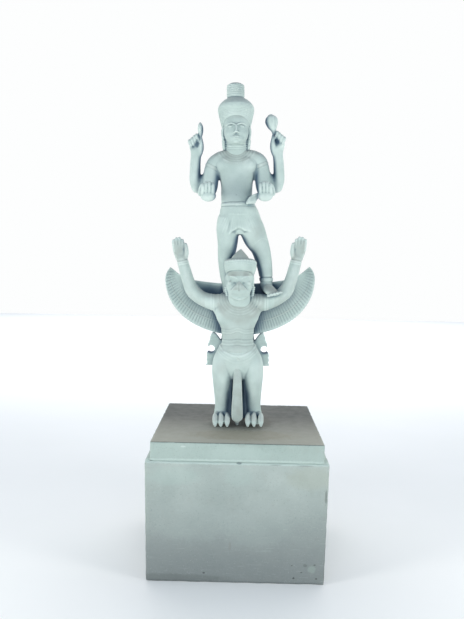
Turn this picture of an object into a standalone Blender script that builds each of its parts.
# A carved sandstone group on its plinth: four-armed Vishnu stands on the shoulders of winged Garuda.
# The group is one stone. It rests on a slab, and the slab rests on a block.
# Metres, +Z up, the front faces -Y, and the origin is the middle of the block's underside.
import math

import bmesh
import bpy
from mathutils import Matrix, Vector

# Driving sizes, in metres.
STATUE_HEIGHT = 1.780
BLOCK_HEIGHT = 0.590
BLOCK_WIDTH = 0.874
BLOCK_DEPTH = 0.854
BLOCK_DRAFT = 0.010
SLAB_HEIGHT = 0.092
SIDE_LEDGE = 0.0245
FRONT_LEDGE = 0.004
BACK_LEDGE = 0.004
EDGE_WEAR = 0.003
SEAT_GAP = 0.0003
STATUE_LEAN_DEG = 1.2
STATUE_SETBACK = 0.0

SLAB_WIDTH = BLOCK_WIDTH - 2 * SIDE_LEDGE
SLAB_DEPTH = BLOCK_DEPTH - FRONT_LEDGE - BACK_LEDGE
SLAB_CENTRE_Y = (FRONT_LEDGE - BACK_LEDGE) / 2
SLAB_BASE = BLOCK_HEIGHT + SEAT_GAP
SLAB_TOP = SLAB_BASE + SLAB_HEIGHT
STATUE_BASE = SLAB_TOP + SEAT_GAP

# The carving is laid out in parts, 1780 to the statue's height, from the slab's top up,
# x to the viewer's right and y to the back. At this height a part is one millimetre.
PARTS_IN_HEIGHT = 1780
PART = STATUE_HEIGHT / PARTS_IN_HEIGHT

# How finely the fused stone is kept, in parts and in triangles.
FUSE_PARTS = 5.0
SMOOTH_PASSES = 5
FIGURE_SHARE = 0.0335
RING_SIDES = 20
STEPS_BETWEEN_ROWS = 3

# Where each figure's middle lies, in parts.
HEAD_X = 13
FACE_X = 9
ARMS_X = 10
VISHNU_X = -5

BOTH_SIDES = (-1, 1)
UP = Vector((0, 0, 1))
BACK = Vector((0, 1, 0))


def remove_everything():
    for thing in list(bpy.data.objects):
        bpy.data.objects.remove(thing)


def stone(name, colour, roughness):
    material = bpy.data.materials.new(name)
    material.use_nodes = True
    shader = material.node_tree.nodes["Principled BSDF"]
    shader.inputs["Base Color"].default_value = (*colour, 1)
    shader.inputs["Roughness"].default_value = roughness
    shader.inputs["Metallic"].default_value = 0
    return material


def placed(name, bm, material):
    """Turns a bmesh into an object of the scene."""
    mesh = bpy.data.meshes.new(name)
    bm.to_mesh(mesh)
    bm.free()
    mesh.materials.append(material)
    made = bpy.data.objects.new(name, mesh)
    bpy.context.collection.objects.link(made)
    return made


# Lumps of clay: rounded rods through a row of oval rings, and balls.


def add_lump(bm, lump):
    """Turns the lump's faces outward and adds it to the clay."""
    bmesh.ops.recalc_face_normals(lump, faces=lump.faces[:])
    mesh = bpy.data.meshes.new("lump")
    lump.to_mesh(mesh)
    lump.free()
    bm.from_mesh(mesh)
    bpy.data.meshes.remove(mesh)


def between(rows, steps):
    """The rows with more between them, on one smooth curve through them all."""
    fine = []
    for i in range(len(rows) - 1):
        before, here, there, after = (
            rows[max(i - 1, 0)], rows[i], rows[i + 1], rows[min(i + 2, len(rows) - 1)]
        )
        for k in range(steps):
            t = k / steps
            fine.append([
                0.5 * (2 * b + (c - a) * t + (2 * a - 5 * b + 4 * c - d) * t * t
                       + (3 * b - a - 3 * c + d) * t ** 3)
                for a, b, c, d in zip(before, here, there, after)
            ])
    fine.append(list(rows[-1]))
    return fine


def ring_places(rows, deep):
    """One matrix for each row: a unit circle set square to the path, as wide and deep as the row says."""
    centres = [Vector(row[:3]) for row in rows]
    places = []
    for i, row in enumerate(rows):
        along = (centres[min(i + 1, len(rows) - 1)] - centres[max(i - 1, 0)]).normalized()
        tilt = row[5] if len(row) > 5 else 0
        along = Matrix.Rotation(math.radians(tilt), 3, "X") @ along
        depth_axis = (deep - along * deep.dot(along)).normalized()
        width_axis = depth_axis.cross(along)
        turn = Matrix((width_axis, depth_axis, along)).transposed().to_4x4()
        size = Matrix.Diagonal((max(row[3], 0.5), max(row[4], 0.5), 1, 1))
        places.append(Matrix.Translation(centres[i]) @ turn @ size)
    return places


def rod(bm, rows, deep=BACK, boxy=1.0, dome=0.6, steps=STEPS_BETWEEN_ROWS):
    """A closed lump through rows of (x, y, z, half width, half depth, tilt). Boxy below 1 squares its rings."""
    wide = max(len(row) for row in rows)
    rows = between([list(row) + [0] * (wide - len(row)) for row in rows], steps)
    for end, inward in ((0, 1), (-1, -1)):
        tip = list(rows[end])
        step = Vector(tip[:3]) - Vector(rows[end + inward][:3])
        reach = min(tip[3], tip[4]) * dome
        out = Vector(tip[:3]) + step.normalized() * reach
        half = Vector(tip[:3]) + step.normalized() * reach * 0.72
        caps = [
            [*half, tip[3] * 0.7, tip[4] * 0.7, *tip[5:]],
            [*out, tip[3] * 0.2, tip[4] * 0.2, *tip[5:]],
        ]
        rows = (caps[::-1] + rows) if end == 0 else (rows + caps)
    places = ring_places(rows, deep)
    lump = bmesh.new()
    ring = bmesh.ops.create_circle(lump, segments=RING_SIDES, radius=1)["verts"]
    for vert in ring:
        for axis in (0, 1):
            vert.co[axis] = math.copysign(abs(vert.co[axis]) ** boxy, vert.co[axis])
    edges = lump.edges[:]
    bmesh.ops.transform(lump, matrix=places[0], verts=ring)
    bmesh.ops.contextual_create(lump, geom=edges)
    for before, here in zip(places, places[1:]):
        grown = bmesh.ops.extrude_edge_only(lump, edges=edges)["geom"]
        verts = [item for item in grown if isinstance(item, bmesh.types.BMVert)]
        edges = [item for item in grown if isinstance(item, bmesh.types.BMEdge)]
        bmesh.ops.transform(lump, matrix=here @ before.inverted(), verts=verts)
    bmesh.ops.contextual_create(lump, geom=edges)
    add_lump(bm, lump)


def ball(bm, centre, radii, turn_deg=0, about="Y"):
    place = (
        Matrix.Translation(Vector(centre))
        @ Matrix.Rotation(math.radians(turn_deg), 4, about)
        @ Matrix.Diagonal((*radii, 1))
    )
    lump = bmesh.new()
    bmesh.ops.create_uvsphere(lump, u_segments=RING_SIDES, v_segments=12, radius=1, matrix=place)
    add_lump(bm, lump)


def plate(bm, outline, front, back):
    """A flat slice of stone with this outline of (x, z) points, from front to back in y."""
    lump = bmesh.new()
    face = lump.faces.new([lump.verts.new((x, front, z)) for x, z in outline])
    grown = bmesh.ops.extrude_face_region(lump, geom=[face])["geom"]
    moved = [item for item in grown if isinstance(item, bmesh.types.BMVert)]
    bmesh.ops.translate(lump, vec=(0, back - front, 0), verts=moved)
    add_lump(bm, lump)


def mirrored(rows, side, middle=0):
    """Rows given for the viewer's right, set on either side of a middle line."""
    return [(middle + side * row[0], *row[1:]) for row in rows]


# Garuda, who carries. The toes are given by how far out they lie on the left and on the right foot.

TOES = {-1: (49, 83, 117), 1: (51, 84, 121)}


def garuda_legs(bm):
    rod(bm, [
        (0, -6, 240, 90, 46), (0, -8, 290, 118, 66), (0, -10, 344, 124, 76), (0, -12, 370, 112, 78),
        (0, -13, 392, 97, 74),
    ], boxy=0.92, dome=0.1)
    ball(bm, (0, -54, 384), (70, 36, 40))
    for side in BOTH_SIDES:
        ball(bm, (side * 62, 4, 396), (38, 56, 36))
        rod(bm, mirrored([
            (50, -4, 392, 48, 58), (72, -6, 330, 58, 66), (80, -8, 279, 56, 66),
            (80, -10, 223, 52, 62), (80, -8, 167, 46, 54), (80, -2, 105, 41, 46),
            (82, 0, 72, 41, 44), (85, -2, 40, 43, 48), (86, -4, 0, 44, 50), (86, -4, -14, 44, 50),
        ], side), dome=0.3)
        for x in TOES[side]:
            rod(bm, mirrored([
                (0.6 * x + 34, -26, 42, 16, 18), (x, -62, 44, 12.5, 17), (x, -88, 35, 12, 16),
                (x, -104, 20, 11.5, 14), (x, -115, 5, 9, 10), (x, -120, -6, 5, 6),
            ], side), deep=UP, dome=0.8)
        ball(bm, (side * 86, 44, 14), (28, 26, 26))


GARUDA_TRUNK = [
    (0, -6, 250, 96, 46), (0, -8, 300, 116, 62), (0, -10, 344, 118, 70), (0, -12, 374, 104, 73),
    (0, -12, 405, 89, 69), (0, -10, 436, 83, 62), (0, -8, 470, 84, 62), (0, -6, 510, 89, 66),
    (0, -4, 552, 108, 72), (0, -2, 590, 124, 74), (0, 0, 628, 116, 66), (2, 2, 660, 84, 52),
    (5, 0, 684, 56, 46),
]
GIRDLE_CURVES = ((424, 362), (407, 345), (391, 329))


def trunk_at(rows, z):
    """The trunk's middle and half sizes (x, y, half width, half depth) at this height."""
    for low, high in zip(rows, rows[1:]):
        if low[2] <= z <= high[2]:
            t = (z - low[2]) / (high[2] - low[2])
            row = [a + (b - a) * t for a, b in zip(low, high)]
            return row[0], row[1], row[3], row[4]
    end = rows[0] if z < rows[0][2] else rows[-1]
    return end[0], end[1], end[3], end[4]


def cord_round(bm, trunk, side_z, front_z, thick, reach_deg=95, steps=12, proud=0):
    """A rounded ridge round the front of a trunk, from side_z at the flanks to front_z in the middle."""
    rows = []
    for k in range(steps + 1):
        angle = math.radians(reach_deg * (2 * k / steps - 1))
        z = side_z + (front_z - side_z) * max(math.cos(angle), 0) ** 1.4
        x, y, wide, deep = trunk_at(trunk, z)
        rows.append((x + (wide + proud) * math.sin(angle), y - (deep + proud) * math.cos(angle), z, thick, thick))
    rod(bm, rows, deep=UP, steps=1)


def garuda_trunk(bm):
    rod(bm, GARUDA_TRUNK, boxy=0.92)
    ball(bm, (2, 46, 640), (120, 52, 66))
    for side in BOTH_SIDES:
        ball(bm, (side * 50, -24, 578), (64, 46, 66))
    for z in (431, 489):
        rod(bm, [(0, -9, z - 14, 86, 64), (0, -9, z, 91, 69), (0, -9, z + 14, 86, 64)], dome=0.1)
    for side_z, front_z in GIRDLE_CURVES:
        cord_round(bm, GARUDA_TRUNK, side_z, front_z, 6)
    ball(bm, (2, -86, 350), (13, 13, 10))


def garuda_arms(bm):
    for side in BOTH_SIDES:
        rod(bm, mirrored([
            (60, 0, 640, 44, 46), (110, 0, 636, 46, 46), (150, 2, 641, 42, 42), (203, 4, 662, 38, 40),
            (245, 4, 698, 38, 37), (268, 2, 748, 33, 34), (288, 0, 819, 31, 30), (298, -2, 857, 29, 27),
            (302, -3, 884, 31, 20),
        ], side, ARMS_X))
        rod(bm, mirrored([(131, 1, 638, 44, 45), (151, 2, 642, 44, 45)], side, ARMS_X), dome=0.15)
        rod(bm, mirrored([(293, -1, 836, 32, 30), (298, -2, 857, 32, 29)], side, ARMS_X), dome=0.15)
        rod(bm, mirrored([
            (300, -4, 862, 30, 19), (305, -6, 892, 36, 16), (314, -6, 914, 34, 14), (319, -6, 936, 32, 13),
        ], side, ARMS_X))
        for x, top in ((-24, 970), (-8.5, 981), (7.5, 979), (22.5, 968)):
            rod(bm, mirrored([
                (317 + x * 0.95, -7, 908, 9, 11), (320 + x, -9, 942, 9, 10), (322 + x, -6, top - 6, 8.5, 9),
            ], side, ARMS_X), dome=0.8)
        rod(bm, mirrored([
            (288, -8, 868, 17, 14), (278, -12, 896, 14, 13), (277, -14, 924, 10, 11), (281, -13, 944, 8, 8),
        ], side, ARMS_X), dome=0.8)


def garuda_head(bm):
    x, face = HEAD_X, FACE_X
    rod(bm, [(6, -12, 612, 64, 54), (8, -18, 645, 61, 57), (face, -26, 680, 58, 54)], boxy=0.75)
    ball(bm, (x, -40, 770), (68, 74, 84))
    ball(bm, (face, -50, 724), (68, 62, 56))
    ball(bm, (face, -62, 688), (58, 50, 36))
    ball(bm, (face, -88, 702), (50, 38, 30))
    rod(bm, [
        (x, -36, 786, 74, 84, -15), (x + 1, -37, 804, 80, 89, -14), (x + 2, -38, 830, 85, 92, -12),
        (x + 2, -38, 848, 83, 91, -11), (x + 2, -39, 858, 76, 86, -11), (x + 2, -40, 865, 62, 72, -11),
    ], dome=0.06)
    rod(bm, [
        (x + 1, -46, 850, 52, 54), (x + 2, -46, 872, 44, 46), (x + 3, -46, 888, 31, 33),
        (x + 4, -46, 902, 18, 19), (x + 5, -46, 911, 8, 8),
    ])
    for side in BOTH_SIDES:
        rod(bm, mirrored([
            (60, -20, 790, 8, 12), (65, -22, 770, 10, 16), (66, -22, 748, 9, 13), (66, -24, 724, 9, 12),
        ], side, x - 1))
        rod(bm, mirrored([(69, -26, 720, 11, 12), (68, -26, 690, 12, 12), (65, -26, 668, 10, 10)], side, x - 1))
        ball(bm, (face + side * 44, -95, 741), (15, 13, 12))
        rod(bm, mirrored([
            (4, -112, 757, 6, 6), (15, -113, 770, 6, 6), (36, -106, 780, 6, 6), (52, -90, 780, 5, 5),
        ], side, face))
    rod(bm, [
        (face, -108, 752, 7, 8), (face, -117, 740, 17, 12), (face, -121, 728, 29, 14),
        (face, -120, 716, 39, 15), (face, -114, 707, 43, 13),
    ])
    ball(bm, (face, -106, 692), (36, 20, 7))


def pendant(bm):
    """The long cloth end between the legs, with a pointed layer under it that meets the slab."""
    rod(bm, [
        (-1, -62, 330, 22, 18), (-1, -80, 276, 23, 16), (-1, -88, 220, 24.5, 15), (-2, -93, 150, 27.5, 14),
        (-3, -98, 90, 30.5, 14), (-3, -100, 56, 29, 13), (-3, -101, 36, 22, 12), (-3, -101, 26, 12, 9),
    ], boxy=0.9, dome=0.8)
    rod(bm, [
        (-2, -68, 150, 18, 12), (-3, -72, 60, 20, 12), (-3, -74, 26, 17, 11), (-3, -74, 8, 10, 9),
        (-3, -73, -8, 7, 7),
    ])


def tail_side(notch_steps=8):
    """Half the outline of the tail's scrolled plate, as (x, z), from its waist out and down."""
    notch_x, notch_z, notch_r = 142, 386, 19
    upper = [(40, 452), (90, 430), (112, 462), (129, 476), (140, 470), (147, 455), (150, 443), (149, 436),
             (155, 424), (160, 412), (160, 404)]
    notch = [
        (notch_x + notch_r * math.cos(math.radians(a)), notch_z + notch_r * math.sin(math.radians(a)))
        for a in [38 + k * (284 / notch_steps) for k in range(notch_steps + 1)]
    ]
    lower = [(160, 370), (166, 364), (168, 352), (164, 342), (168, 332), (167, 322), (163, 314), (168, 306),
             (172, 298), (136, 298), (40, 290)]
    return upper + notch + lower


def tail(bm):
    for side in BOTH_SIDES:
        drop = 5 if side > 0 else 0
        plate(bm, [(side * x, z - drop) for x, z in tail_side()], 34, 88)
    rod(bm, [
        (0, 58, 480, 84, 26), (0, 66, 400, 92, 28), (0, 72, 300, 84, 30), (0, 84, 200, 60, 28),
        (0, 98, 100, 50, 26), (0, 108, 30, 48, 28), (0, 108, -14, 48, 28),
    ], dome=0.2)


# Garuda's wings: one fan of feathers from the shoulder blades, on both sides.

WING_FEATHERS = 22
WING_MIDDLE = (13, 760)
WING_BOTTOM_REACH = 305
WING_SIDE_REACH = 93
WING_TIP_DEG = 99.6
WING_TOP_REACH = 335
WING_BANDS = (0.0, 0.60, 0.64, 0.93, 1.0)
WING_BACK_Y = 86
WING_RIM_Y = 52
WING_THICK = 30
WING_RIM_THICK = 14
FEATHER_RELIEF = 3.0


def wing_top(x):
    """Height of the wings' top edge over the middle, in parts."""
    return 731 + 20 * (x / 240) ** 2 + 22 * max(0, (x - 240) / 100) ** 2


def wing_ray(share):
    """Inner and outer end of a feather, (x, z), at this share of the way from the middle to the tip."""
    angle = math.radians(WING_TIP_DEG * share)
    reach = WING_BOTTOM_REACH + WING_SIDE_REACH * abs(math.sin(angle)) ** 2.5
    pulled_in = 1 - 0.05 * max(0, (share - 0.9) / 0.1) ** 2
    outer = (reach * pulled_in * math.sin(angle), WING_MIDDLE[1] - reach * pulled_in * math.cos(angle))
    inner_x = WING_TOP_REACH * share ** 1.25
    return (inner_x, wing_top(inner_x)), outer


def wings(material):
    """The fan as a solid guide: ridged feathers in two rows, front and back."""
    bm = bmesh.new()
    columns, bands = 4 * WING_FEATHERS, len(WING_BANDS) - 1
    bmesh.ops.create_grid(bm, x_segments=columns, y_segments=bands, size=1)
    for vert in bm.verts:
        column = round((vert.co.x + 1) / 2 * columns)
        band = round((vert.co.y + 1) / 2 * bands)
        along = WING_BANDS[band]
        share = (column - columns / 2) / (columns / 2)
        inner, outer = wing_ray(abs(share))
        side = math.copysign(1, share)
        is_groove = column % 2 == 0
        if is_groove and band == bands:
            along -= 0.015
        x = side * (inner[0] + (outer[0] - inner[0]) * along) + WING_MIDDLE[0]
        z = inner[1] + (outer[1] - inner[1]) * along
        y = WING_BACK_Y + (WING_RIM_Y - WING_BACK_Y) * along ** 2
        thick = WING_THICK + (WING_RIM_THICK - WING_THICK) * along
        relief = 0 if is_groove or band in (0,) else FEATHER_RELIEF
        if band == 2:
            relief -= FEATHER_RELIEF
        vert.co = Vector((x, y - thick / 2 - relief, z))
    grown = bmesh.ops.extrude_face_region(bm, geom=bm.faces[:])["geom"]
    for vert in [item for item in grown if isinstance(item, bmesh.types.BMVert)]:
        from_rim = (WING_BACK_Y - vert.co.y) / (WING_BACK_Y - WING_RIM_Y)
        vert.co.y += 2 * FEATHER_RELIEF + WING_RIM_THICK + (WING_THICK - WING_RIM_THICK) * max(0, 1 - from_rim)
    bmesh.ops.recalc_face_normals(bm, faces=bm.faces[:])
    bmesh.ops.scale(bm, vec=(PART, PART, PART), verts=bm.verts[:])
    guide = placed("wings_guide", bm, material)
    guide.hide_render = True
    guide.display_type = "WIRE"
    return guide


# Vishnu, who stands on Garuda's shoulders.


def vishnu_legs(bm):
    rod(bm, [
        (-46, 46, 1080, 58, 58), (-52, 50, 1025, 60, 62), (-52, 52, 955, 54, 58), (-60, 56, 873, 45, 48),
        (-60, 58, 820, 40, 41), (-58, 58, 772, 35, 36), (-52, 56, 735, 31, 32), (-50, 54, 700, 30, 32),
    ])
    rod(bm, [(-51, 66, 704, 27, 26), (-50, 44, 700, 28, 24), (-48, 12, 694, 28, 18)], deep=UP)
    rod(bm, [
        (52, 46, 1080, 60, 58), (74, 47, 1030, 66, 62), (96, 50, 972, 63, 58), (122, 54, 919, 51, 52),
        (137, 58, 864, 45, 46), (146, 58, 815, 40, 40), (151, 54, 774, 36, 36), (153, 50, 742, 34, 34),
        (153, 46, 724, 33, 34),
    ])
    rod(bm, [(151, 54, 752, 37, 37), (151, 54, 764, 37, 37)], dome=0.1)
    rod(bm, [
        (151, 66, 706, 28, 26), (159, 28, 708, 31, 28), (176, -20, 695, 34, 20), (190, -50, 684, 35, 13),
    ], deep=UP)
    for k in range(5):
        out = k / 4
        ball(bm, (161 + 64 * out, -74 + 26 * out, 677 + 15 * out), (9 - out, 18, 9 - out), -25, "Z")


def vishnu_trunk(bm):
    x = VISHNU_X
    rod(bm, [
        (14, 46, 996, 64, 42), (15, 46, 1036, 108, 60), (11, 46, 1064, 114, 64), (7, 46, 1100, 106, 64),
        (3, 46, 1135, 94, 60), (1, 46, 1162, 84, 56),
    ], boxy=0.94, dome=0.05)
    rod(bm, [
        (x + 1, 46, 1120, 78, 48), (x + 1, 46, 1160, 81, 51), (x + 1, 45, 1205, 82, 52),
        (x + 2, 44, 1246, 83, 53), (x + 1, 44, 1292, 90, 57), (x, 44, 1335, 102, 61),
        (x, 46, 1370, 104, 58), (x, 48, 1398, 88, 51), (x, 50, 1424, 63, 46),
    ], boxy=0.92)
    rod(bm, [(x + 3, 46, 1144, 87, 61), (x + 3, 46, 1161, 84, 59)], boxy=0.94, dome=0.05)
    plate(bm, [(-24, 1104), (33, 1104), (67, 1004), (55, 1006), (40, 1012), (21, 1019), (4, 1022),
               (-27, 1000), (-43, 993)], -18, 24)
    for side in BOTH_SIDES:
        ball(bm, (x + side * 46, 22, 1352), (60, 36, 50))
        ball(bm, (x + side * 95, 46, 1330 + side * 3), (26, 32, 36))
        ball(bm, (12 + side * 46, 80, 1060), (56, 46, 56))


def vishnu_arms(bm):
    x = VISHNU_X
    for side in BOTH_SIDES:
        rise = 10 if side > 0 else 0
        rod(bm, mirrored([
            (36, 48, 1394, 44, 46), (82, 50, 1384 + rise / 2, 44, 46), (115, 50, 1362 + rise, 44, 45),
            (130, 46, 1332 + rise / 2, 41, 43), (135, 38, 1295, 41, 40), (138, 28, 1250, 40, 38), (142, 16, 1222, 37, 35),
        ], side, x + 2))
        rod(bm, mirrored([
            (143, 22, 1218, 34, 33), (145, -24, 1206, 31, 31), (144, -62, 1196, 30, 29),
            (144, -92, 1190, 32, 28),
        ], side, x + 2), deep=UP)
        ball(bm, (x + 2 + side * 144, -98, 1184), (40, 25, 29))
        for over, top in ((119, 1247), (137, 1254), (154, 1252), (170, 1244)):
            rod(bm, mirrored([
                (over + 2, -104, 1176, 11, 11), (over + 1, -118, 1202, 10.5, 11),
                (over, -120, top - 16, 10, 10), (over, -113, top - 4, 8.5, 9), (over, -104, top - 4, 7, 8),
            ], side, x + 2), dome=0.9)
        thumb = [(184, -84, 1192, 13, 13), (183, -98, 1218, 10, 10), (177, -104, 1236, 8, 8)]
        rod(bm, mirrored(thumb, side, x + 2))
        rod(bm, mirrored([
            (112, 62, 1344, 38, 38), (156, 66, 1290, 35, 36), (190, 66, 1248, 32, 34), (208, 63, 1236, 29, 30),
        ], side, x + 3))
        rod(bm, mirrored([
            (213, 60, 1238, 27, 29), (221, 56, 1279, 30, 30), (220, 50, 1330, 29, 28), (218, 46, 1372, 28, 26),
            (214, 42, 1408, 28, 23), (212, 40, 1434, 34, 20), (214, 40, 1460, 37, 17), (220, 40, 1482, 33, 14),
        ], side, x + 3), dome=0.9)
        rod(bm, mirrored([
            (196, 38, 1410, 14, 16), (190, 34, 1436, 17, 16), (187, 29, 1462, 15, 14), (188, 26, 1490, 10, 11),
            (190, 26, 1510, 8, 9),
        ], side, x + 3))
        lift = 12 if side > 0 else 0
        for over, top in ((247, 1478), (234, 1488), (221, 1499), (209, 1508)):
            rod(bm, mirrored([
                (over, 42, top - 8 + lift, 8, 8), (over + 2, 28, top + 2 + lift, 8, 8),
                (over, 15, top - 4 + lift, 7.5, 8), (over - 6, 12, top - 22 + lift, 7, 7.5),
                (over - 9, 18, top - 32 + lift, 6, 7),
            ], side, x + 3), dome=0.8)


def held_things(bm):
    """The discus, edge-on, the conch, and the strut from one fist to the belt."""
    rod(bm, [(-191, 30, 1505, 9, 16), (-191, 30, 1530, 14, 32), (-192, 30, 1552, 14, 30),
             (-193, 30, 1568, 8, 16), (-194, 30, 1575, 3, 5)], dome=0.5)
    rod(bm, [
        (191, 30, 1510, 8, 8), (189, 30, 1530, 13, 13), (184, 32, 1551, 26, 23), (179, 34, 1577, 34, 28),
        (175, 34, 1597, 28, 24), (173, 34, 1608, 14, 12),
    ])
    plate(bm, [(43, 1147), (50, 1166), (62, 1184), (80, 1196), (102, 1203), (130, 1208), (134, 1184),
               (112, 1184), (101, 1170), (92, 1150)], -50, 14)


def vishnu_head(bm):
    """The head, a third of the face each for brow, nose and mouth, under its cap of hair and chignon."""
    x = VISHNU_X
    hairline, chin = 1603, 1451
    third = (hairline - chin) / 3
    brow, nose_end = hairline - third, hairline - 2 * third
    eye, mouth = brow - third / 4, nose_end - third / 3
    ball(bm, (x, 34, 1564), (67, 76, 78))
    ball(bm, (x, 10, 1520), (64, 60, 74))
    ball(bm, (x, -4, 1484), (51, 46, 36))
    ball(bm, (x, -33, chin + 15), (19, 14, 12))
    rod(bm, [(x, 46, 1392, 62, 48), (x, 44, 1420, 58, 50), (x, 40, 1445, 56, 50), (x, 36, 1480, 54, 50)])
    rod(bm, [(x, 62, 1392, 62, 44), (x, 62, 1470, 63, 42), (x, 60, 1535, 66, 40)])
    rod(bm, [
        (x, -44, brow - 3, 7, 8), (x, -52, (eye + nose_end) / 2, 8, 10), (x, -60, nose_end + 7, 12, 10),
    ])
    ball(bm, (x, -48, mouth + 4), (20, 8, 5))
    ball(bm, (x, -46, mouth - 5), (16, 8, 5))
    for side in BOTH_SIDES:
        ball(bm, (x + side * 34, -8, 1508), (28, 32, 34))
        rod(bm, mirrored([(8, -44, brow - 1, 4, 4), (28, -40, brow + 4, 4, 4), (48, -26, brow, 4, 4)], side, x))
        ball(bm, (x + side * 26, -36, eye), (14, 10, 8))
        rod(bm, mirrored([(66, 34, 1546, 7, 14), (70, 35, 1522, 9, 17), (66, 33, 1488, 8, 12)], side, x))
        rod(bm, mirrored([(65, 31, 1474, 11, 13), (63, 31, 1438, 10, 11)], side, x))
    rod(bm, [
        (x - 1, 44, 1552, 74, 95, -34), (x - 1, 42, 1598, 87, 95, -22), (x - 1, 40, 1637, 95, 94, -10),
        (x - 1, 40, 1660, 87, 86, -4), (x - 1, 40, 1680, 70, 69, 0), (x - 1, 40, 1695, 48, 48, 0),
    ], dome=0.12)
    rod(bm, [(x - 3, 42, 1676, 46, 46), (x - 3, 42, 1752, 46, 46), (x - 3, 42, 1764, 43, 43)], dome=0.28)


def necklaces(bm):
    rod(bm, [(VISHNU_X, 46, 1432, 66, 52, 18), (VISHNU_X, 42, 1414, 84, 62, 24)], dome=0.1)
    rod(bm, [(3, -4, 652, 72, 56, 18), (2, -8, 628, 92, 68, 22)], dome=0.1)


# Putting the stone together.


def statue(material):
    bm = bmesh.new()
    for carve in (
        garuda_legs, garuda_trunk, garuda_arms, garuda_head, pendant, tail,
        vishnu_legs, vishnu_trunk, vishnu_arms, held_things, vishnu_head, necklaces,
    ):
        carve(bm)
    bmesh.ops.scale(bm, vec=(PART, PART, PART), verts=bm.verts[:])
    group = placed("statue", bm, material)
    fuse = group.modifiers.new("fuse the lumps", "REMESH")
    fuse.mode = "VOXEL"
    fuse.voxel_size = FUSE_PARTS * PART
    soften = group.modifiers.new("soften", "SMOOTH")
    soften.iterations = SMOOTH_PASSES
    thin = group.modifiers.new("fewer faces", "DECIMATE")
    thin.ratio = FIGURE_SHARE
    fan = wings(material)
    join = group.modifiers.new("wings", "BOOLEAN")
    join.operation = "UNION"
    join.object = fan
    below = bmesh.new()
    bmesh.ops.create_cube(below, size=1)
    floor = placed("floor_cutter", below, material)
    floor.scale = (SLAB_WIDTH * 2, SLAB_DEPTH * 2, SLAB_HEIGHT)
    floor.location = (0, 0, STATUE_BASE - SLAB_HEIGHT / 2)
    floor.hide_render = True
    floor.display_type = "WIRE"
    flat = group.modifiers.new("flat underside", "BOOLEAN")
    flat.operation = "DIFFERENCE"
    flat.object = floor
    for thing in (group, fan):
        thing.location = (0, STATUE_SETBACK, STATUE_BASE)
        thing.rotation_euler = (0, -math.radians(STATUE_LEAN_DEG), 0)
    return group


def hewn_block(name, width, depth, height, draft, base, centre_y, material):
    """A squared stone with worn edges, narrower at its foot by the draft on every side."""
    bm = bmesh.new()
    bmesh.ops.create_cube(bm, size=1)
    bmesh.ops.scale(bm, vec=(width, depth, height), verts=bm.verts[:])
    for vert in bm.verts:
        if vert.co.z < 0:
            vert.co.x -= math.copysign(draft, vert.co.x)
            vert.co.y -= math.copysign(draft, vert.co.y)
    bmesh.ops.translate(bm, vec=(0, centre_y, base + height / 2), verts=bm.verts[:])
    bmesh.ops.bevel(bm, geom=bm.edges[:], offset=EDGE_WEAR, segments=2, profile=0.5, affect="EDGES")
    return placed(name, bm, material)


def main():
    remove_everything()
    figure_stone = stone("honed_grey_green_sandstone", (0.50, 0.60, 0.57), 0.75)
    plinth_stone = stone("weathered_grey_sandstone", (0.36, 0.41, 0.39), 0.85)
    statue(figure_stone)
    hewn_block("plinth_slab", SLAB_WIDTH, SLAB_DEPTH, SLAB_HEIGHT, 0, SLAB_BASE, SLAB_CENTRE_Y, plinth_stone)
    hewn_block("plinth_block", BLOCK_WIDTH, BLOCK_DEPTH, BLOCK_HEIGHT, BLOCK_DRAFT, 0, 0, plinth_stone)


main()
